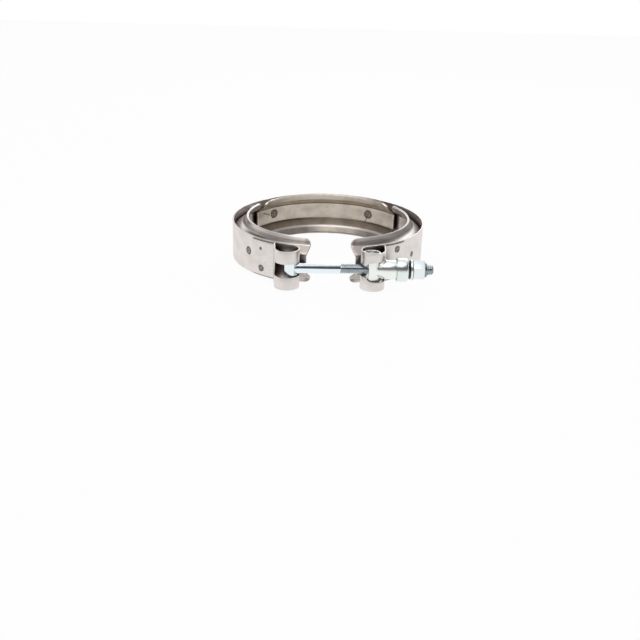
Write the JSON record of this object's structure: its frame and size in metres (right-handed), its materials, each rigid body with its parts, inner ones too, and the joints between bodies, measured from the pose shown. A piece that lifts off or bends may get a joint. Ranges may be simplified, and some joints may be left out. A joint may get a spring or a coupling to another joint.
{
  "type": "v band clamp",
  "caption": "Open V band coupling clamp: V-section retainers on a thin strap with folded loops, drawn shut by a T-bolt, trunnion, collar and lock nut.",
  "frame": {"origin": "centre of the back retainer's arc at mid height, on the axis of the flanges that the clamp grips", "axes": "+Z along the clamp's axis, -Y towards the bolt, +X towards the nut"},
  "size_m": [0.1192, 0.1252, 0.0278],
  "materials": {
    "strap_stainless": "mill-finish stainless strip, faint grain round the strap",
    "retainer_stainless": "roll-formed stainless, warm grey, bright at the edges",
    "bolt_zinc": "bright zinc plate",
    "fitting_zinc": "bright zinc plate, slightly green"
  },
  "bodies": {
    "root": {"band": "strap_stainless", "retainer_back": "retainer_stainless"},
    "left_side": {"retainer_left": "retainer_stainless"},
    "right_side": {"retainer_right": "retainer_stainless"},
    "bolt": {"t_bolt": "bolt_zinc"},
    "trunnion": {"trunnion": "fitting_zinc", "thrust_collar": "fitting_zinc", "washer": "fitting_zinc"},
    "nut": {"lock_nut": "fitting_zinc"}
  },
  "joints": [
    {"name": "nut_turn", "type": "hinge", "parent": "trunnion", "child": "nut", "pos_m": [0.0503, -0.0631, 0], "axis": [-1, 0, 0], "range_deg": [0, 7925]},
    {"name": "left_side_flex", "type": "hinge", "parent": "root", "child": "left_side", "pos_m": [-0.03946, 0.0381, 0], "axis": [0, 0, 1], "range_deg": [0, 6.3], "deforming": ["band"]},
    {"name": "right_side_flex", "type": "hinge", "parent": "root", "child": "right_side", "pos_m": [0.03946, 0.0381, 0], "axis": [0, 0, -1], "range_deg": [0, 6.3], "deforming": ["band"]},
    {"name": "t_bolt_swivel", "type": "hinge", "parent": "left_side", "child": "bolt", "pos_m": [-0.02305, -0.0631, 0], "axis": [0, 0, -1], "range_deg": [0, 6.3]},
    {"name": "trunnion_swivel", "type": "hinge", "parent": "right_side", "child": "trunnion", "pos_m": [0.02305, -0.0631, 0], "axis": [0, 0, 1], "range_deg": [0, 6.3]}
  ],
  "couplings": [
    {"joint": "left_side_flex", "follows": "nut_turn", "ratio": 0.00079495},
    {"joint": "right_side_flex", "follows": "nut_turn", "ratio": 0.00079495},
    {"joint": "t_bolt_swivel", "follows": "nut_turn", "ratio": 0.00079495},
    {"joint": "trunnion_swivel", "follows": "nut_turn", "ratio": 0.00079495}
  ]
}
